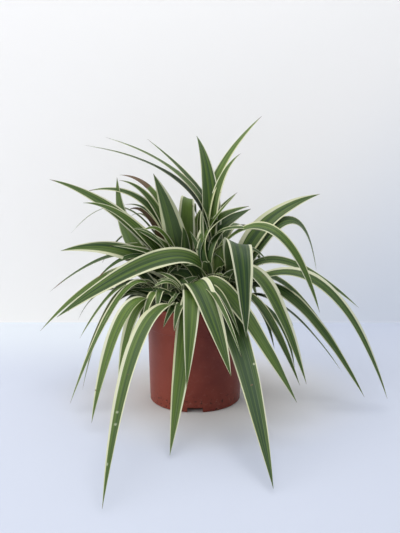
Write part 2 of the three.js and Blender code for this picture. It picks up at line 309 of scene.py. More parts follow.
def uprights(places, radius, bottom, top, sides=32):
    """Points and quads of closed upright cylinders: four rings each, the first and last drawn in to the
    middle."""
    turn = np.arange(sides) * 2 * math.pi / sides
    reach = np.array([0.0, radius, radius, 0.0])[:, None]
    level = np.repeat([[bottom], [bottom], [top], [top]], sides, axis=1)
    ring = np.stack([reach * np.cos(turn), reach * np.sin(turn), level], axis=-1).reshape(-1, 3)
    middles = np.array([[x, y, 0.0] for x, y in places])
    points = (ring[None] + middles[:, None]).reshape(-1, 3)
    faces = ring_faces(4, sides)
    shifts = np.arange(len(places))[:, None, None] * len(ring)
    return points, (faces[None] + shifts).reshape(-1, 4)


def cut_away(piece, cutter):
    """Cuts one closed piece out of another and removes the cutter."""
    cut = piece.modifiers.new("cut", "BOOLEAN")
    cut.object = cutter
    cut.operation = "DIFFERENCE"
    cut.solver = "EXACT"
    bpy.context.view_layer.update()
    result = bpy.data.meshes.new_from_object(piece.evaluated_get(bpy.context.evaluated_depsgraph_get()))
    piece.modifiers.clear()
    piece.data = result
    bpy.data.objects.remove(cutter)


plastic = terracotta_plastic()
pot = new_piece("pot_shell", *pot_shell(), plastic)
drain_turn = np.arange(NOTCHES) * NOTCH_SPACING
drains = np.stack([np.cos(drain_turn), np.sin(drain_turn)], axis=1) * DRAIN_DISTANCE
drill_top = NOTCH_HEIGHT + NOTCH_ROOF + 3
drill = new_piece("drill", *uprights(drains, DRAIN_RADIUS, 1, drill_top), plastic)
cut_away(pot, drill)
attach(pot, "root")
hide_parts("pot")


# Soil
# Dark, loose potting mix of peat and bark that fills the pot to just under the rim.
# Its surface is lumpy, with crumbs of bark and a few pale grains lying half sunk in it.
SOIL_EDGE_HEIGHT = 104
SOIL_CROWN = 2
SOIL_GAP = 0.3
SOIL_BOTTOM = BASE_THICKNESS + NOTCH_HEIGHT + 1
SOIL_RINGS = 44
SOIL_SIDES = 120
LUMP_SEED = 11
LUMP_FADE = 3
CRUMB_REACH = 54
GRAIN_CELL = (0.006, 0.006, 0.02)  # in metres
PEAT = (0.022, 0.014, 0.009, 1)
BARK = (0.085, 0.045, 0.025, 1)
PALE_GRAIN = (0.42, 0.38, 0.31, 1)


def lumps(x, y, seed, count=220, reach=52, spread=3.2, rise=1.3):
    """Height of a lumpy surface: the sum of round hillocks and dips scattered by a seeded draw."""
    draw = np.random.default_rng(seed)
    middle = draw.uniform(-reach, reach, (count, 2))
    size = draw.uniform(0.5, 1.3, count) * spread
    tall = draw.uniform(-0.6, 1.0, count) * rise
    apart = (x[..., None] - middle[:, 0]) ** 2 + (y[..., None] - middle[:, 1]) ** 2
    return (tall * np.exp(-apart / size**2)).sum(axis=-1)


def soil_bed():
    """Points and quads of the bed: rings that run up the pot's wall, over the lumpy top and in to the
    middle."""
    wall = BODY_TOP_RADIUS + RIM_STEP - WALL - SOIL_GAP
    edge_share = (SOIL_EDGE_HEIGHT - RIM_BOTTOM) / (POT_HEIGHT - RIM_BOTTOM)
    edge = wall + (RIM_RADIUS - BODY_TOP_RADIUS - RIM_STEP) * edge_share - 0.2
    side = np.array([
        [0, SOIL_BOTTOM],
        [BASE_RADIUS - WALL - 1, SOIL_BOTTOM],
        [BODY_TOP_RADIUS - WALL - SOIL_GAP - 0.6, RIM_BOTTOM],
        [edge - 0.4, SOIL_EDGE_HEIGHT - 4],
        [edge, SOIL_EDGE_HEIGHT - 1],
    ])
    top_radius = np.linspace(edge, 0, SOIL_RINGS)[1:]
    top_height = SOIL_EDGE_HEIGHT + SOIL_CROWN * (1 - (top_radius / edge) ** 2)
    profile = np.vstack([side, np.stack([top_radius, top_height], axis=1)])
    turn = np.arange(SOIL_SIDES) * 2 * math.pi / SOIL_SIDES
    x = profile[:, :1] * np.cos(turn)
    y = profile[:, :1] * np.sin(turn)
    z = np.repeat(profile[:, 1:], len(turn), axis=1)
    on_top = (np.arange(len(profile)) >= len(side))[:, None]
    fade = np.clip((edge - profile[:, :1]) / LUMP_FADE, 0, 1)
    z = z + np.where(on_top, lumps(x, y, LUMP_SEED) * fade, 0)
    return np.stack([x, y, z], axis=-1).reshape(-1, 3), ring_faces(len(profile), len(turn))


def crumbs(count, seed):
    """Points and triangles of many small chunks, each a twenty-faced ball stretched and dented by a seeded
    draw."""
    draw = np.random.default_rng(seed)
    golden = (1 + math.sqrt(5)) / 2
    ball = np.array([
        [-1, golden, 0], [1, golden, 0], [-1, -golden, 0], [1, -golden, 0],
        [0, -1, golden], [0, 1, golden], [0, -1, -golden], [0, 1, -golden],
        [golden, 0, -1], [golden, 0, 1], [-golden, 0, -1], [-golden, 0, 1],
    ]) / math.hypot(1, golden)
    sides = np.array([
        [0, 11, 5], [0, 5, 1], [0, 1, 7], [0, 7, 10], [0, 10, 11],
        [1, 5, 9], [5, 11, 4], [11, 10, 2], [10, 7, 6], [7, 1, 8],
        [3, 9, 4], [3, 4, 2], [3, 2, 6], [3, 6, 8], [3, 8, 9],
        [4, 9, 5], [2, 4, 11], [6, 2, 10], [8, 6, 7], [9, 8, 1],
    ])
    reach = CRUMB_REACH * np.sqrt(draw.uniform(0, 1, count))
    turn = draw.uniform(0, 2 * math.pi, count)
    x = reach * np.cos(turn)
    y = reach * np.sin(turn)
    size = draw.uniform(0.7, 2.1, (count, 1, 1)) * draw.uniform(0.5, 1.2, (count, 1, 3))
    chunk = ball[None] * draw.uniform(0.8, 1.15, (count, len(ball), 1)) * size
    spin = draw.uniform(0, 2 * math.pi, count)[:, None]
    turned_x = chunk[..., 0] * np.cos(spin) - chunk[..., 1] * np.sin(spin)
    turned_y = chunk[..., 0] * np.sin(spin) + chunk[..., 1] * np.cos(spin)
    ground = SOIL_EDGE_HEIGHT + SOIL_CROWN * (1 - (reach / BODY_TOP_RADIUS) ** 2) + lumps(x, y, LUMP_SEED)
    z = chunk[..., 2] + ground[:, None] + 0.2
    points = np.stack([turned_x + x[:, None], turned_y + y[:, None], z], axis=-1).reshape(-1, 3)
    return points, (sides[None] + np.arange(count)[:, None, None] * len(ball)).reshape(-1, 3)


def potting_mix(name, pale_share):
    """Rough dark mix: peat with bark-brown patches, and a share of pale grains."""
    material, tree, surface = new_material(name)
    place = node(tree, "ShaderNodeTexCoord").outputs["Object"]
    cloud = place_group(tree, mottle, place, Patch_Scale=220.0, Grain_Scale=1600.0)
    colour = blend(tree, cloud["Patches"], PEAT, BARK)
    cells = node(tree, "ShaderNodeVectorMath", {0: place, 1: GRAIN_CELL}, operation="SNAP").outputs[0]
    grains = node(tree, "ShaderNodeTexWhiteNoise", {"Vector": cells})
    pale = maths(tree, "LESS_THAN", grains.outputs["Value"], pale_share)
    colour = blend(tree, maths(tree, "MULTIPLY", pale, cloud["Patches"]), colour, PALE_GRAIN)
    tree.links.new(colour, surface.inputs["Base Color"])
    surface.inputs["Roughness"].default_value = 0.92
    bump = node(tree, "ShaderNodeBump", {"Height": cloud["Grain"], "Strength": 0.7, "Distance": 0.0012})
    tree.links.new(bump.outputs[0], surface.inputs["Normal"])
    return material


soil = new_piece("soil_bed", *soil_bed(), potting_mix("peat_mix", 0.0))
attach(soil, "root")
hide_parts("soil")
bark = potting_mix("bark_crumbs", 0.05)
chunks = new_piece("soil_crumbs", *crumbs(count=420, seed=5), bark, smooth_below=20)
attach(chunks, "root")


# Middle plantlet
# The tallest of five crowns: a short stem wrapped in leaf bases, and long leaves folded along the midrib.
# Each leaf is green with cream margins, arches out of the crown and thins to a fine point.
MIDDLE_CROWN = (19, 6)
STUB_RADIUS = 7
STUB_BOTTOM = 72
CROWN_TIP_RADIUS = 3
CROWN_TIP_RISE = 6
LEAF_START = 4
CHANNEL = 0.25
CHANNEL_FADE = 0.5
CHANNEL_CURVE = 1.4
BASE_WIDTH = 0.48
WIDEST = 0.4
TAPER = 2.6
TIP_HALF_WIDTH = 0.15
TWIST_LENGTH = 0.15
BLADE_THICKNESS = 0.55
EDGE_THINNING = 0.55
KEEL_DEPTH = 0.5
KEEL_WIDTH = 0.14
KEEL_FADE = 0.8
LEAF_SECTIONS = 48
LEAF_POINTS = 13
ARC_STEPS = 400
STEM_SIDES = 48
RIBS = 5
RIB_DEPTH = 0.07
EDGE_WAVE = 0.05
WAVE_LENGTHS = (55, 90)
SHEATH = 0.55
SHEATH_LENGTH = 0.14
GOLDEN_ANGLE = 137.5
CREAM_SOFTNESS = 0.012
VEIL_WIDTH = 0.16
PALE_BASE_LENGTH = 0.10
# The deep green and thin cream margins of the inner leaves are partly painted shade.
IN_SHADE = (0.06, 0.06, 1.0, 0.0)  # own looks of the inner leaves that are placed one by one
YOUNG = (0.07, 0.07, 0.7, 0.0)  # own looks of the inner leaves that follow the golden angle
DEEP_GREEN = (0.013, 0.044, 0.010, 1)
FRESH_GREEN = (0.112, 0.185, 0.022, 1)
VEIL_GREEN = (0.120, 0.165, 0.062, 1)
CREAM = (0.60, 0.61, 0.33, 1)
IVORY = (0.66, 0.67, 0.50, 1)
STEM_PALE = (0.30, 0.33, 0.13, 1)
DRY_BROWN = (0.130, 0.078, 0.034, 1)
SCAR_PALE = (0.46, 0.50, 0.33, 1)
SCAR_RADIUS = 2.6
SCAR_CORE = 1.6
SCAR_RAGGEDNESS = 1.8
SCARS = [
    (-71, -232, 72),
    (-72, -241, 64),
    (-78, -265, 36),
    (62, -142, 89),
]


def grid_faces(rows, columns):
    """Quads of a grid of points held row after row: corner, next row, next row and column, next column."""
    here = (np.arange(rows - 1)[:, None] * columns + np.arange(columns - 1)).reshape(-1, 1)
    return here + np.array([0, columns, columns + 1, 1])


def smooth(value):
    """Smooth step from 0 at 0 to 1 at 1."""
    t = np.clip(value, 0, 1)
    return t * t * (3 - 2 * t)


def unit(vectors):
    """Each vector divided by its own length."""
    return vectors / np.linalg.norm(vectors, axis=-1, keepdims=True)


def midrib(x, y, row):
    """Points evenly spaced by length along a leaf's middle, the level direction to its left, and its length.
    The line is a parabola arc from the crown through the half-way point to the tip.

    A leaf's row holds its heading seen from above in degrees (0 is +X, 90 is +Y), the height where it
    starts, reach and height half way along, reach and height of the tip, sideways sway half way along,
    full width, and roll of the blade in degrees (positive lifts its left side). A row may go on with its
    own looks: the shares of the width that are cream at the left and at the right margin, tone from -1
    (olive) to 1 (deep green), and share of the length that is dry at the tip. Rows that end in IN_SHADE
    are short inner leaves that darken the heart of the crown."""
    heading, start, mid_reach, mid_height, tip_reach, tip_height, sway = row[:7]
    turn = math.radians(heading)
    out = np.array([math.cos(turn), math.sin(turn), 0.0])
    left = np.array([-out[1], out[0], 0.0])
    up = np.array([0.0, 0.0, 1.0])
    foot = np.array([x, y, 0.0])
    first = foot + LEAF_START * out + start * up
    middle = foot + mid_reach * out + mid_height * up + sway * left
    last = foot + tip_reach * out + tip_height * up
    control = 2 * middle - (first + last) / 2
    t = np.linspace(0, 1, ARC_STEPS + 1)[:, None]
    arc = (1 - t) ** 2 * first + 2 * t * (1 - t) * control + t**2 * last
    run = np.concatenate([[0], np.cumsum(np.linalg.norm(np.diff(arc, axis=0), axis=1))])
    even = np.linspace(0, run[-1], LEAF_SECTIONS + 1)
    return np.stack([np.interp(even, run, arc[:, k]) for k in range(3)], axis=1), left, run[-1]


def leaf_sheet(x, y, row, draw):
    """Points, UVs, margins and traits of one leaf, a closed thin sheet of an upper and a lower grid.
    At share u of the length and share s from -1 at the right edge to 1 at the left edge, a point is
    midrib + across * half * s + normal * (channel * half * |s| to the power CHANNEL_CURVE + wave
    + half the thickness above, or - half the thickness and the keel below)."""
    line, left, length = midrib(x, y, row)
    width, roll = row[7:9]
    u = np.linspace(0, 1, LEAF_SECTIONS + 1)[:, None]
    s = np.linspace(-1, 1, LEAF_POINTS)[None, :]
    along = unit(np.gradient(line, axis=0))
    flat = unit(left - along * (along @ left)[:, None])
    upper = np.cross(along, flat)
    turn = math.radians(roll) * smooth(u / TWIST_LENGTH)
    across = flat * np.cos(turn) + upper * np.sin(turn)
    normal = upper * np.cos(turn) - flat * np.sin(turn)
    profile = (BASE_WIDTH + (1 - BASE_WIDTH) * smooth(u / WIDEST)) * (1 - u**TAPER)
    half = np.maximum(width / 2 * profile, TIP_HALF_WIDTH)
    left_phase, right_phase, *_ = draw.uniform(0, 2 * math.pi, 4)  # the last two are drawn but not used
    left_cycles, right_cycles = length / draw.uniform(*WAVE_LENGTHS, 2)
    left_wave = np.sin(u * left_cycles * 2 * math.pi + left_phase)
    right_wave = np.sin(u * right_cycles * 2 * math.pi + right_phase)
    wave = EDGE_WAVE * half * np.where(s > 0, left_wave, right_wave) * s**2 * smooth(u / 0.2)
    sheath = SHEATH * (1 - smooth(u / SHEATH_LENGTH))
    lift = (CHANNEL * (1 - CHANNEL_FADE * u) + sheath) * half * np.abs(s) ** CHANNEL_CURVE + wave
    thick = BLADE_THICKNESS * (1 - EDGE_THINNING * np.abs(s) ** 3) * np.minimum(1, half / 1.2)
    keel = KEEL_DEPTH * np.exp(-((s / KEEL_WIDTH) ** 2)) * (1 - KEEL_FADE * u) * np.minimum(1, half / 4)
    middle = line[:, None, :] + across[:, None, :] * (half * s)[..., None]
    top = middle + normal[:, None, :] * (lift + thick / 2)[..., None]
    bottom = middle + normal[:, None, :] * (lift - thick / 2 - keel)[..., None]
    points = np.stack([top, bottom]).reshape(-1, 3)
    uv = np.stack(np.broadcast_arrays((s + 1) / 2, u), axis=-1)
    uv = np.stack([uv, uv]).reshape(-1, 2)
    usual = draw.uniform([0.07, 0.07, -0.6, 0.0], [0.17, 0.17, 0.6, 0.02])
    cream_left, cream_right, tone, dry = row[9:] or usual
    margins = np.tile([cream_left, cream_right, dry], (len(points), 1))
    underside = np.repeat([0.0, 1.0], len(points) // 2)[:, None]
    traits = np.hstack([np.tile([tone, draw.uniform(0, 1)], (len(points), 1)), underside])
    return points, uv, margins, traits


def leaf_faces():
    """Quads of one leaf: the upper grid, the lower grid turned over, and strips round the four edges."""
    rows = LEAF_SECTIONS + 1
    columns = LEAF_POINTS
    top = grid_faces(rows, columns)
    bottom = top[:, ::-1] + rows * columns
    number = np.arange(rows * columns).reshape(rows, columns)
    below = number + rows * columns
    left = np.stack([number[:-1, -1], number[1:, -1], below[1:, -1], below[:-1, -1]], axis=-1)
    right = np.stack([below[:-1, 0], below[1:, 0], number[1:, 0], number[:-1, 0]], axis=-1)
    tip = np.stack([number[-1, :-1], below[-1, :-1], below[-1, 1:], number[-1, 1:]], axis=-1)
    base = np.stack([number[0, 1:], below[0, 1:], below[0, :-1], number[0, :-1]], axis=-1)
    return np.vstack([top, bottom, left, right, tip, base])


def crown_stem(x, y, rows):
    """Points, UVs, margins, traits and quads of the short stem: rings from below the soil to the crown's tip,
    ribbed round the edge like the leaf bases that wrap it."""
    crown_top = max(row[1] for row in rows)
    profile = np.array([
        [0, STUB_BOTTOM],
        [STUB_RADIUS - 0.5, STUB_BOTTOM],
        [STUB_RADIUS, STUB_BOTTOM + 6],
        [STUB_RADIUS, SOIL_EDGE_HEIGHT + 2],
        [STUB_RADIUS - 0.3, SOIL_EDGE_HEIGHT + 8],
        [STUB_RADIUS - 1, (SOIL_EDGE_HEIGHT + crown_top) / 2 + 2],
        [STUB_RADIUS - 1.6, crown_top - 4],
        [CROWN_TIP_RADIUS, crown_top + CROWN_TIP_RISE - 2],
        [0, crown_top + CROWN_TIP_RISE],
    ])
    turn = np.arange(STEM_SIDES) * 2 * math.pi / STEM_SIDES
    ribs = 1 + RIB_DEPTH * np.sin(turn * RIBS + x)
    reach = profile[:, :1] * ribs
    level = np.repeat(profile[:, 1:], len(turn), axis=1)
    points = np.stack([x + reach * np.cos(turn), y + reach * np.sin(turn), level], axis=-1).reshape(-1, 3)
    uv = np.stack(np.broadcast_arrays(turn[None, :] / math.pi % 1, np.zeros((len(profile), 1))), axis=-1)
    margins = np.tile([0.1, 0.1, 0.0], (len(points), 1))
    traits = np.tile([-0.5, 0.3, 0.0], (len(points), 1))
    return points, uv.reshape(-1, 2), margins, traits, ring_faces(len(profile), len(turn))


def young_leaves(count, low, high, seed, lift):
    """Rows of short inner leaves that fill a crown, each turned from the last by the golden angle. They start
    between two heights, and the later ones stand more upright. The lift scales how far they rise."""
    draw = np.random.default_rng(seed)
    order = np.arange(count)
    upright = order / (count - 1)
    heading = order * GOLDEN_ANGLE % 360
    start = low + (high - low) * upright
    reach = draw.uniform(44, 62, count) * (1 - 0.55 * upright)
    rise = draw.uniform(14, 24, count) + 26 * upright * lift
    beyond = draw.uniform(-12, -2, count) + 34 * upright * lift
    width = draw.uniform(11, 18, count)
    sway = draw.uniform(-4, 4, count)
    roll = draw.uniform(-15, 15, count)
    height = start + rise
    rows = np.stack([heading, start, reach * 0.5, height, reach, height + beyond, sway, width, roll], axis=1)
    return [[*row, *YOUNG] for row in rows.tolist()]


def plantlet(name, x, y, rows, seed):
    """Piece that holds one crown: its stem and all its leaves, with the UVs, margins and traits that the leaf
    finish reads."""
    draw = np.random.default_rng(seed)
    sheets = [leaf_sheet(x, y, row, draw) for row in rows]
    one = leaf_faces()
    faces = (one[None] + np.arange(len(rows))[:, None, None] * len(sheets[0][0])).reshape(-1, 4)
    stem = crown_stem(x, y, rows)
    points, uv, margins, traits = map(np.concatenate, zip(*sheets, stem[:4]))
    faces = np.vstack([faces, stem[4] + len(points) - len(stem[0])])
    piece = new_piece(name, points, faces, leaf_tissue, smooth_below=50)
    corners = np.empty(len(piece.data.loops), np.int32)
    piece.data.loops.foreach_get("vertex_index", corners)
    layer = piece.data.uv_layers.new(name="blade")
    layer.uv.foreach_set("vector", uv[corners].astype(np.float32).ravel())
    for key, values in (("margins", margins), ("traits", traits)):
        attribute = piece.data.attributes.new(key, "FLOAT_VECTOR", "POINT")
        attribute.data.foreach_set("vector", values.astype(np.float32).ravel())
    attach(piece, "root")
    return piece


def streak_group():
    """Shared streaks that run along a blade: noise drawn out lengthways, from 0 to 1, different for each
    seed."""
    numbers = {"Across": 10.0, "Along": 1.0, "Seed": 0.0}
    group, given, taken = new_group("streaks", numbers, ["Streaks"])
    spot = node(group, "ShaderNodeSeparateXYZ", {0: given["Vector"]}).outputs
    vector = node(group, "ShaderNodeCombineXYZ", {
        0: maths(group, "MULTIPLY", spot["X"], given["Across"]),
        1: maths(group, "MULTIPLY", spot["Y"], given["Along"]),
        2: maths(group, "MULTIPLY", given["Seed"], 57.0),
    })
    drawn_out = noise(group, vector.outputs[0], scale=1.0, detail=2.0)
    group.links.new(ease(group, drawn_out, 0.28, 0.72), taken["Streaks"])
    return group


def living_leaf():
    """Leaf finish: streaked green inside cream margins, with a grey-green band where the two meet that is
    partly leaf colour and partly painted sheen, a paler underside and base, fine parallel veins, a dry tip,
    and a few pale healed scars. It reads the blade UVs and the leaf's own margins and traits."""
    material, tree, surface = new_material("living_leaf")
    streaks = streak_group()
    blade = node(tree, "ShaderNodeUVMap", uv_map="blade").outputs[0]
    place = node(tree, "ShaderNodeTexCoord").outputs["Object"]
    spot = node(tree, "ShaderNodeSeparateXYZ", {0: blade}).outputs
    margins = node(tree, "ShaderNodeAttribute", attribute_name="margins").outputs["Vector"]
    cream_left, cream_right, dry = node(tree, "ShaderNodeSeparateXYZ", {0: margins}).outputs
    traits = node(tree, "ShaderNodeAttribute", attribute_name="traits").outputs["Vector"]
    tone, seed, underside = node(tree, "ShaderNodeSeparateXYZ", {0: traits}).outputs

    def streak(across, along, shift=0.0):
        """Streak value of the shared group at this blade."""
        outputs = place_group(tree, streaks, blade, Across=across, Along=along)
        tree.links.new(maths(tree, "ADD", seed, shift), outputs["Streaks"].node.inputs["Seed"])
        return outputs["Streaks"]

    edge_drift = scaled(tree, streak(across=7.0, along=3.0), 0.05, -0.025)
    from_right = maths(tree, "SUBTRACT", spot["X"], edge_drift)
    from_left = maths(tree, "SUBTRACT", 1.0, from_right)

    def bands(inner, outer):
        """1 on both margins and 0 towards the midrib, with a soft change between two distances inside
        them."""
        left_band = ease(tree, maths(tree, "SUBTRACT", from_left, cream_left), outer, inner)
        right_band = ease(tree, maths(tree, "SUBTRACT", from_right, cream_right), outer, inner)
        return maths(tree, "MAXIMUM", left_band, right_band)

    fine = streak(across=34.0, along=1.6, shift=1.3)
    broad = streak(across=9.0, along=0.9, shift=2.7)
    depth = maths(tree, "ADD", scaled(tree, tone, -0.32), scaled(tree, broad, 0.66))
    depth = maths(tree, "ADD", depth, scaled(tree, fine, 0.45, -0.225))
    colour = blend(tree, ease(tree, depth, -0.25, 0.95), DEEP_GREEN, FRESH_GREEN)
    # grey-green band inside the margins: partly leaf colour, partly painted sheen
    veil_and_sheen = maths(tree, "MULTIPLY", bands(0.0, VEIL_WIDTH), scaled(tree, fine, 0.75))
    colour = blend(tree, veil_and_sheen, colour, VEIL_GREEN)
    pale_line = ease(tree, streak(across=22.0, along=0.7, shift=4.1), 0.78, 0.95, 0.0, 0.35)
    colour = blend(tree, pale_line, colour, VEIL_GREEN)
    rim_colour = blend(tree, streak(across=12.0, along=1.2, shift=5.9), CREAM, IVORY)
    colour = blend(tree, bands(-CREAM_SOFTNESS, CREAM_SOFTNESS), colour, rim_colour)
    colour = blend(tree, scaled(tree, underside, 0.25), colour, VEIL_GREEN)
    colour = blend(tree, ease(tree, spot["Y"], PALE_BASE_LENGTH, 0.0, 0.0, 0.85), colour, STEM_PALE)
    tip_drift = scaled(tree, fine, 0.02, -0.01)
    from_tip = maths(tree, "ADD", maths(tree, "SUBTRACT", 1.0, spot["Y"]), tip_drift)
    dried = ease(tree, maths(tree, "SUBTRACT", from_tip, dry), 0.006, -0.006)
    colour = blend(tree, dried, colour, DRY_BROWN)
    specks = ease(tree, noise(tree, place, scale=170.0, detail=1.0), 0.765, 0.80, 0.0, 0.7)
    colour = blend(tree, specks, colour, DRY_BROWN)
    raggedness = scaled(tree, fine, SCAR_RAGGEDNESS * MM)
    for scar in SCARS:
        middle_of_scar = tuple(value * MM for value in scar)
        apart = node(tree, "ShaderNodeVectorMath", {0: place, 1: middle_of_scar}, operation="DISTANCE")
        ragged = maths(tree, "ADD", apart.outputs["Value"], raggedness)
        healed = ease(tree, ragged, SCAR_RADIUS * MM, SCAR_CORE * MM, 0.0, 0.75)
        colour = blend(tree, healed, colour, SCAR_PALE)
    tree.links.new(colour, surface.inputs["Base Color"])
    rough = maths(tree, "ADD", scaled(tree, fine, 0.12, 0.38), scaled(tree, underside, 0.12))
    tree.links.new(rough, surface.inputs["Roughness"])
    surface.inputs["Specular IOR Level"].default_value = 0.35
    ridges = streak(across=46.0, along=0.5, shift=7.7)
    veins = {"Height": ridges, "Strength": 0.35, "Distance": 0.0005}
    tree.links.new(node(tree, "ShaderNodeBump", veins).outputs[0], surface.inputs["Normal"])
    return material


leaf_tissue = living_leaf()
middle_leaves = [
    [282, 118, 112, 107, 263, 5, 3, 28, 10, 0.05, 0.05, 0.8, 0.0],
    [316, 115, 74, 165, 145, 50, -6, 27, 6, 0.20, 0.06, 0.1, 0.01],
    [300, 128, 14, 154, 49, 155, -8, 11, 0, 0.12, 0.10, -0.6, 0.0],
    [190, 143, 57, 174, 184, 107, 2, 27, -50, 0.12, 0.08, 0.3, 0.0],
    [330, 176, 85, 214, 140, 123, -13, 17, 25, 0.10, 0.12, -0.2, 0.01],
    [330, 146, 13, 178, 20, 200, 0, 19, -60, 0.12, 0.08, -0.8, 0.0],
    [62, 125, 50, 180, 140, 90, 0, 22, 0],
    [85, 125, 60, 200, 140, 100, 0, 22, 0],
    [325, 150, 12, 203, 84, 210, -3, 12, 20, 0.12, 0.14, 0.4, 0.02],
    [0, 148, -7, 203, 45, 234, -1, 21, 35, 0.12, 0.10, 0.2, 0.02],
    [24, 146, -3, 193, 53, 228, -1, 26, 35, 0.05, 0.05, 1.0, 0.02],
    [340, 148, -11, 188, 32, 251, -1, 16, 30, 0.16, 0.14, -0.8, 0.02],
    [159, 148, 30, 252, 167, 302, 0, 17, 0, 0.10, 0.09, 0.8, 0.03],
    [155, 150, 21, 250, 144, 312, 0, 17, 0, 0.12, 0.08, 0.0, 0.03],
    [45, 140, 36, 205, 90, 180, 0, 20, 0],
    [139, 150, 8, 225, 104, 309, -11, 14, 0, 0.10, 0.10, 0.7, 0.03],
    [42, 150, 9, 200, 43, 247, 17, 10, 10, 0.16, 0.14, -0.7, 0.03],
    [49, 152, 9, 249, 97, 337, 8, 15, 10, 0.10, 0.16, -0.7, 0.03],
    [40, 152, 9, 244, 47, 294, 1, 17, 15, 0.10, 0.16, -0.6, 0.03],
    [111, 154, 10, 252, 48, 314, -2, 27, 0, 0.05, 0.08, 0.0, 0.0],
    [180, 120, 26, 150, 54, 152, 0, 18, -50, *IN_SHADE],
    [168, 124, 24, 160, 50, 166, 0, 17, -50, *IN_SHADE],
    [195, 118, 28, 140, 54, 136, 0, 16, -45, *IN_SHADE],
    [140, 140, 19, 205, 12, 230, 0, 13, 0, 0.12, 0.12, -0.8, 0.02],
    [120, 138, 12, 198, 17, 226, 0, 20, 0, *IN_SHADE],
    [10, 118, 24, 146, 50, 150, 0, 17, 45, *IN_SHADE],
    [170, 134, 14, 176, 26, 204, 0, 16, 60, *IN_SHADE],
]
middle_leaves += young_leaves(count=16, low=112, high=140, seed=21, lift=0.4)
middle = plantlet("leaves_middle", *MIDDLE_CROWN, middle_leaves, seed=1)
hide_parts("plantlet_middle")


# Right plantlet
# A crown whose leaves arch over and hang down on the right.
# Like every crown it is rooted in the soil, and all its leaves grow out of one short stem.
RIGHT_CROWN = (43, 10)
right_leaves = [
    [275, 147, 95, 202, 133, 111, -3, 34, -16, 0.12, 0.10, 0.9, 0.0],
    [322, 122, 38, 120, 64, 70, 0, 11, 0, 0.06, 0.06, 0.9, 0.02],
    [317, 124, 66, 112, 98, 54, 0, 10, 0, 0.06, 0.06, 0.9, 0.02],
    [306, 126, 57, 122, 125, 47, 0, 15, 0, 0.09, 0.08, 0.3, 0.01],
    [350, 122, 63, 114, 136, 36, 0, 11, 0, 0.05, 0.05, 0.9, 0.02],
    [341, 124, 74, 128, 165, 15, -1, 20, 25, 0.10, 0.10, 0.4, 0.01],
    [348, 124, 48, 150, 114, 92, 0, 15, 15, 0.10, 0.10, 0.6, 0.01],
    [25, 122, 45, 132, 90, 75, 0, 14, 0],
    [50, 122, 55, 140, 115, 60, 0, 16, 0],
    [75, 122, 60, 150, 120, 60, 0, 16, 0],
    [342, 128, 108, 149, 191, 15, -7, 20, 25, 0.20, 0.08, 0.3, 0.01],
    [2, 130, 58, 167, 157, 108, -1, 18, 25, 0.06, 0.12, 0.3, 0.01],
    [345, 130, 16, 180, 44, 170, 0, 12, 20, 0.06, 0.06, 0.9, 0.02],
    [55, 128, 40, 170, 75, 150, 0, 16, 0],
    [15, 135, 71, 213, 111, 150, -2, 22, 28, 0.07, 0.09, 0.1, 0.01],
    [21, 136, 40, 207, 119, 243, -1, 26, 45, 0.20, 0.08, 0.3, 0.01],
    [100, 122, 11, 160, 29, 182, 0, 18, 0, *IN_SHADE],
    [140, 122, 10, 162, 20, 183, 0, 16, 0, *IN_SHADE],
    [60, 122, 13, 162, 24, 182, 0, 16, 0, *IN_SHADE],
]
right_leaves += young_leaves(count=14, low=110, high=130, seed=22, lift=0.6)
right = plantlet("leaves_right", *RIGHT_CROWN, right_leaves, seed=2)
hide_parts("plantlet_right")


# Front plantlet
# A crown whose leaves hang over the front of the pot, two of them down to the floor.
# Its short inner leaves stand low over the soil and fill the gap behind the rim.
FRONT_CROWN = (-8, -20)
front_leaves = [
    [311, 118, 56, 153, 174, 50, -2, 27, 5, 0.06, 0.07, 0.1, 0.0],
    [250, 110, 36, 130, 77, 113, 0, 12, 0, 0.14, 0.12, 0.8, 0.02],
    [262, 110, 45, 133, 98, 116, -1, 13, 0, 0.14, 0.12, 0.7, 0.02],
    [232, 112, 20, 134, 40, 123, 0, 9, 0],
    [165, 112, 8, 130, 20, 132, 0, 9, 0],
    [280, 114, 22, 142, 50, 134, 0, 12, 0],
    [312, 114, 24, 142, 48, 134, 0, 12, 0],
    [335, 114, 18, 138, 36, 134, 0, 11, 0],
    [205, 118, 20, 148, 44, 146, 0, 13, -20],
    [190, 120, 16, 146, 36, 152, 0, 14, -20],
    [168, 120, 16, 148, 40, 158, 0, 13, -20],
    [264, 112, 58, 127, 159, 4, 8, 26, 0, 0.10, 0.11, -0.5, 0.0],
    [255, 112, 141, 127, 278, 5, -9, 20, 0, 0.08, 0.21, -0.3, 0.01],
    [270, 116, 65, 146, 127, 65, 5, 22, 0, 0.11, 0.11, -0.2, 0.0],
    [300, 118, 55, 154, 112, 111, 0, 11, 0, 0.14, 0.12, 0.1, 0.02],
    [291, 122, 68, 154, 155, 104, 0, 9, 0],
    [289, 124, 62, 155, 141, 79, -6, 29, 12, 0.16, 0.08, 0.2, 0.01],
    [178, 112, 30, 134, 58, 138, 0, 16, -50, *IN_SHADE],
    [192, 112, 26, 130, 50, 128, 0, 14, -45, *IN_SHADE],
    [5, 112, 26, 132, 52, 132, 0, 15, 45, *IN_SHADE],
    [20, 112, 24, 138, 46, 142, 0, 14, 40, *IN_SHADE],
]
front_leaves += young_leaves(count=16, low=108, high=120, seed=23, lift=0.1)
front = plantlet("leaves_front", *FRONT_CROWN, front_leaves, seed=3)
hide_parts("plantlet_front")


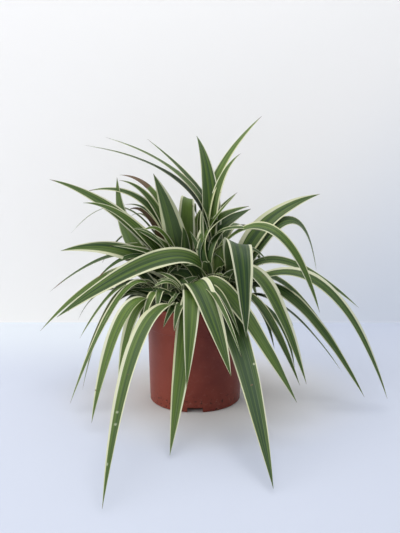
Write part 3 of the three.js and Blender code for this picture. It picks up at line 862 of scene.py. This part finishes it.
# Left plantlet
# A crown whose leaves hang down on the left.
# Its leaves are narrower than those in front, and the lowest reach almost to the floor.
LEFT_CROWN = (-38, -8)
left_leaves = [
    [234, 114, 71, 122, 127, 11, 1, 21, 0, 0.06, 0.19, -0.4, 0.01],
    [226, 112, 42, 120, 72, 41, 0, 16, -20, 0.10, 0.26, -0.6, 0.02],
    [240, 116, 16, 132, 47, 103, 0, 9, 0],
    [235, 114, 27, 128, 50, 96, 0, 7, 0, 0.08, 0.08, -0.4, 0.3],
    [265, 116, 25, 140, 54, 122, 0, 11, 0],
    [250, 116, 28, 138, 62, 108, 0, 12, 0],
    [202, 116, 48, 140, 116, 10, 4, 15, -10, 0.08, 0.15, -0.2, 0.02],
    [200, 118, 59, 124, 100, 24, 2, 9, 0, 0.09, 0.14, 0.1, 0.05],
    [195, 118, 44, 146, 100, 84, 0, 12, -10, 0.08, 0.10, 0.2, 0.03],
    [187, 122, 63, 138, 101, 102, 0, 8, 0, 0.08, 0.08, 0.3, 0.1],
    [150, 116, 55, 132, 120, 30, 0, 14, 0],
    [120, 116, 50, 135, 110, 40, 0, 14, 0],
    [202, 124, 20, 147, 50, 136, 0, 13, -20],
    [170, 126, 33, 158, 70, 152, 0, 14, -40],
    [75, 120, 8, 142, 22, 150, 0, 11, 0],
    [176, 114, 30, 136, 62, 140, 0, 16, -50, *IN_SHADE],
    [190, 114, 26, 134, 48, 130, 0, 16, -50, *IN_SHADE],
    [10, 114, 22, 140, 44, 150, 0, 16, 50, *IN_SHADE],
]
left_leaves += young_leaves(count=14, low=108, high=120, seed=24, lift=0.2)
left = plantlet("leaves_left", *LEFT_CROWN, left_leaves, seed=4)
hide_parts("plantlet_left")


# Back plantlet
# A crown with the dense tuft at the upper left and the leaves behind.
# Two of the tuft's leaves have dried brown, one at its tip and one nearly to its base.
BACK_CROWN = (-12, 34)
back_leaves = [
    [189, 122, 78, 153, 179, 81, 1, 16, -30],
    [110, 120, 60, 180, 140, 60, 0, 20, 0],
    [75, 120, 60, 185, 145, 65, 0, 20, 0],
    [135, 122, 60, 180, 135, 85, 0, 18, 0],
    [195, 124, 56, 171, 111, 144, 0, 11, -30, 0.04, 0.04, 1.0, 0.1],
    [240, 126, 22, 158, 46, 148, 0, 12, 0],
    [258, 126, 20, 158, 42, 158, 0, 13, 0],
    [280, 128, 14, 160, 30, 168, 0, 12, 0],
    [175, 124, 72, 170, 172, 120, 0, 12, -20, 0.05, 0.05, 0.9, 0.1],
    [195, 126, 30, 167, 91, 186, 0, 12, -35, 0.16, 0.12, 0.2, 0.02],
    [190, 126, 72, 175, 151, 180, 0, 27, -55, 0.24, 0.09, 0.1, 0.0],
    [175, 130, 22, 172, 86, 181, 0, 14, -40],
    [221, 130, 39, 190, 80, 211, 0, 15, -30, 0.12, 0.10, 0.1, 0.0],
    [165, 128, 72, 223, 151, 191, 0, 8, 0],
    [190, 130, 65, 211, 123, 237, 0, 17, -50],
    [155, 128, 60, 195, 120, 150, 0, 16, 0],
    [130, 132, 35, 212, 78, 230, 0, 16, 0],
    [152, 134, 45, 205, 80, 212, 0, 16, 0],
    [160, 132, 38, 211, 83, 228, 0, 11, -20, 0.12, 0.10, 0.7, 0.05],
    [160, 132, 42, 209, 77, 222, 0, 18, -30, 0.06, 0.06, -1.0, 0.9],
    [170, 134, 47, 230, 125, 246, 0, 17, -30, 0.16, 0.14, -0.1, 0.05],
    [151, 135, 36, 233, 96, 264, 0, 15, -25, 0.12, 0.12, -0.7, 0.27],
    [167, 136, 37, 227, 84, 260, 0, 18, -30, 0.14, 0.12, -0.2, 0.03],
    [190, 134, 18, 174, 63, 205, 0, 18, -40],
    [181, 136, 81, 220, 163, 263, -1, 22, -45, 0.11, 0.10, -0.1, 0.03],
    [170, 136, 65, 178, 85, 264, 0, 32, 60, 0.06, 0.06, -0.9, 0.01],
    [75, 138, 22, 222, 52, 212, 0, 16, 0],
    [85, 140, 18, 232, 66, 206, 0, 25, 20, 0.15, 0.12, -1.0, 0.02],
    [60, 136, 23, 198, 41, 224, 0, 20, 20, 0.12, 0.12, -0.8, 0.02],
    [80, 138, 8, 172, 36, 211, 3, 7, 0, 0.12, 0.12, -0.3, 0.02],
    [200, 140, 18, 212, 40, 271, 0, 32, 60, 0.16, 0.15, 1.0, 0.01],
    [210, 136, 28, 196, 57, 205, 0, 16, -45, 0.12, 0.12, -0.7, 0.01],
    [182, 116, 30, 142, 62, 150, 0, 18, -55, *IN_SHADE],
    [172, 122, 32, 158, 66, 168, 0, 18, -55, *IN_SHADE],
    [0, 120, 28, 152, 60, 158, 0, 18, 50, *IN_SHADE],
    [8, 126, 24, 172, 52, 196, 0, 18, 50, *IN_SHADE],
    [20, 128, 20, 190, 40, 220, 0, 16, 50, *IN_SHADE],
]
back_leaves += young_leaves(count=16, low=112, high=138, seed=25, lift=1.0)
back = plantlet("leaves_back", *BACK_CROWN, back_leaves, seed=5)
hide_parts("plantlet_back")


# Floor and backdrop
# A plain pale sheet of matt paper under the pot that turns up behind it in a tight bend.
# It is see-through from behind, so that a camera there still sees the plant.
BACKDROP_DISTANCE = 328
BEND_RADIUS = 4
PAPER_REACH = 6000
PAPER_HEIGHT = 5000
PAPER_DROP = 0.3
BEND_STEPS = 12
PAINTED_LIGHT_MIDDLE = (0.02, 0.02, 0.0)  # in metres
PAINTED_LIGHT_REACH = 210
PAINTED_LIGHT_FULL = 60
PAPER_FLOOR = (0.60, 0.64, 0.742, 1)
PAPER_WALL = (0.92, 0.905, 0.88, 1)
PAPER_WALL_PAINTED_SHADE = (0.75, 0.785, 0.84, 1)
PAPER_PAINTED_LIGHT_NEAR_POT = (0.78, 0.765, 0.75, 1)
PAPER_PAINTED_LIGHT_AT_BEND = (0.71, 0.755, 0.815, 1)


def paper_sweep():
    """Points and quads of a sheet: level floor, quarter-round bend, upright wall."""
    bend = np.linspace(0, math.pi / 2, BEND_STEPS + 1)
    bend_y = BACKDROP_DISTANCE - BEND_RADIUS + BEND_RADIUS * np.sin(bend)
    bend_z = BEND_RADIUS * (1 - np.cos(bend))
    y = np.concatenate([[-PAPER_REACH], bend_y, [BACKDROP_DISTANCE]])
    z = np.concatenate([[0], bend_z, [PAPER_HEIGHT]]) - PAPER_DROP
    x = np.array([-PAPER_REACH, PAPER_REACH])
    grid = np.stack(np.broadcast_arrays(x[None, :], y[:, None], z[:, None]), axis=-1)
    return grid.reshape(-1, 3), grid_faces(len(y), 2)[:, ::-1]


def pale_paper():
    """Matt white paper, bluer on the floor, with painted shade that makes the wall darker and bluer low on
    the right, and a neutral painted light round the pot. It is shown from its front only. Painted light makes
    the floor lighter towards the bend on the left."""
    material, tree, surface = new_material("pale_paper")
    place = node(tree, "ShaderNodeTexCoord").outputs["Object"]
    across, back, height = node(tree, "ShaderNodeSeparateXYZ", {0: place}).outputs
    # painted shade: the wall is darker and bluer low on the right
    painted_shade_low_right = maths(tree, "SUBTRACT", scaled(tree, across, 0.8), height)
    wall = blend(tree, ease(tree, painted_shade_low_right, -0.2, 0.25), PAPER_WALL, PAPER_WALL_PAINTED_SHADE)
    # painted light: a lighter, neutral patch on the floor round the pot that lightens the shade beside it
    from_pot = node(tree, "ShaderNodeVectorMath", {0: place, 1: PAINTED_LIGHT_MIDDLE}, operation="DISTANCE")
    near = ease(tree, from_pot.outputs["Value"], PAINTED_LIGHT_REACH * MM, PAINTED_LIGHT_FULL * MM)
    floor = blend(tree, near, PAPER_FLOOR, PAPER_PAINTED_LIGHT_NEAR_POT)
    # painted light: the floor is lighter towards the shaded bend on the left
    painted_light_to_bend = ease(tree, back, 0.05, 0.30)
    painted_light_leftward = ease(tree, across, 0.15, -0.15)
    floor = blend(tree, maths(tree, "MULTIPLY", painted_light_to_bend, painted_light_leftward), floor, PAPER_PAINTED_LIGHT_AT_BEND)
    colour = blend(tree, ease(tree, height, 0.0005, 0.003), floor, wall)
    tree.links.new(colour, surface.inputs["Base Color"])
    surface.inputs["Roughness"].default_value = 0.8
    surface.inputs["Specular IOR Level"].default_value = 0.15
    behind = node(tree, "ShaderNodeNewGeometry").outputs["Backfacing"]
    clear = node(tree, "ShaderNodeBsdfTransparent")
    shown = node(tree, "ShaderNodeMixShader", {0: behind, 1: surface.outputs[0], 2: clear.outputs[0]})
    tree.links.new(shown.outputs[0], tree.nodes["Material Output"].inputs["Surface"])
    return material


paper = new_piece("paper_sweep", *paper_sweep(), pale_paper())


# Light
# Soft daylight from a window on the left, a broad soft source overhead, a little light along the wall,
# and even light from the room.
WINDOW_LIGHT = (1.0, 0.98, 0.95)
OVERHEAD_LIGHT = (0.99, 0.985, 0.98)
WALL_LIGHT = (1.0, 0.99, 0.97)
ROOM_LIGHT = (0.92, 0.95, 1.0, 1)
ROOM_STRENGTH = 0.66


def soft_light(name, place, aim, size, power, colour):
    """Square area light at a place in metres, turned towards a point. Its yaw is the direction's angle seen
    from above, and its pitch is the direction's angle from straight down."""
    lamp = bpy.data.lights.new(name, "AREA")
    lamp.size = size
    lamp.energy = power
    lamp.color = colour
    holder = bpy.data.objects.new(name, lamp)
    holder.location = place
    direction = np.array(aim) - np.array(place)
    yaw = math.atan2(direction[0], -direction[1])
    pitch = math.atan2(math.hypot(direction[0], direction[1]), -direction[2])
    holder.rotation_euler = (pitch, 0, yaw + math.pi)
    bpy.context.scene.collection.objects.link(holder)


soft_light("window", place=(-1.6, -0.9, 1.1), aim=(0, 0, 0.15), size=1.8, power=20, colour=WINDOW_LIGHT)
soft_light("overhead", place=(-0.05, 0.4, 2.1), aim=(0, 0, 0.1), size=1.4, power=18, colour=OVERHEAD_LIGHT)
soft_light("wall_wash", place=(0.1, -0.2, 1.2), aim=(0.25, 0.34, 0.5), size=0.6, power=2.5, colour=WALL_LIGHT)
world = bpy.data.worlds.new("room")
world.use_nodes = True
sky = world.node_tree.nodes["Background"].inputs
sky["Color"].default_value = ROOM_LIGHT
sky["Strength"].default_value = ROOM_STRENGTH
bpy.context.scene.world = world
bpy.context.scene.view_settings.view_transform = "Standard"


# Camera
# Stands in front and a little above, and looks down on the plant by 11.7 degrees.
# Its place is in metres, and its lens was fitted to the outline of the pot in the photo.
CAMERA_PLACE = (0.0059, -0.934, 0.356)
CAMERA_TILT = 11.7
PIXELS_TO_A_RADIAN = 801
PHOTO_LONG_SIDE = 533
SENSOR = 36  # in millimetres
camera_data = bpy.data.cameras.new("camera")
camera_data.sensor_width = SENSOR
camera_data.lens = SENSOR * PIXELS_TO_A_RADIAN / PHOTO_LONG_SIDE
camera = bpy.data.objects.new("camera", camera_data)
camera.location = CAMERA_PLACE
camera.rotation_euler = (math.radians(90 - CAMERA_TILT), 0, 0)
bpy.context.scene.collection.objects.link(camera)
bpy.context.scene.camera = camera
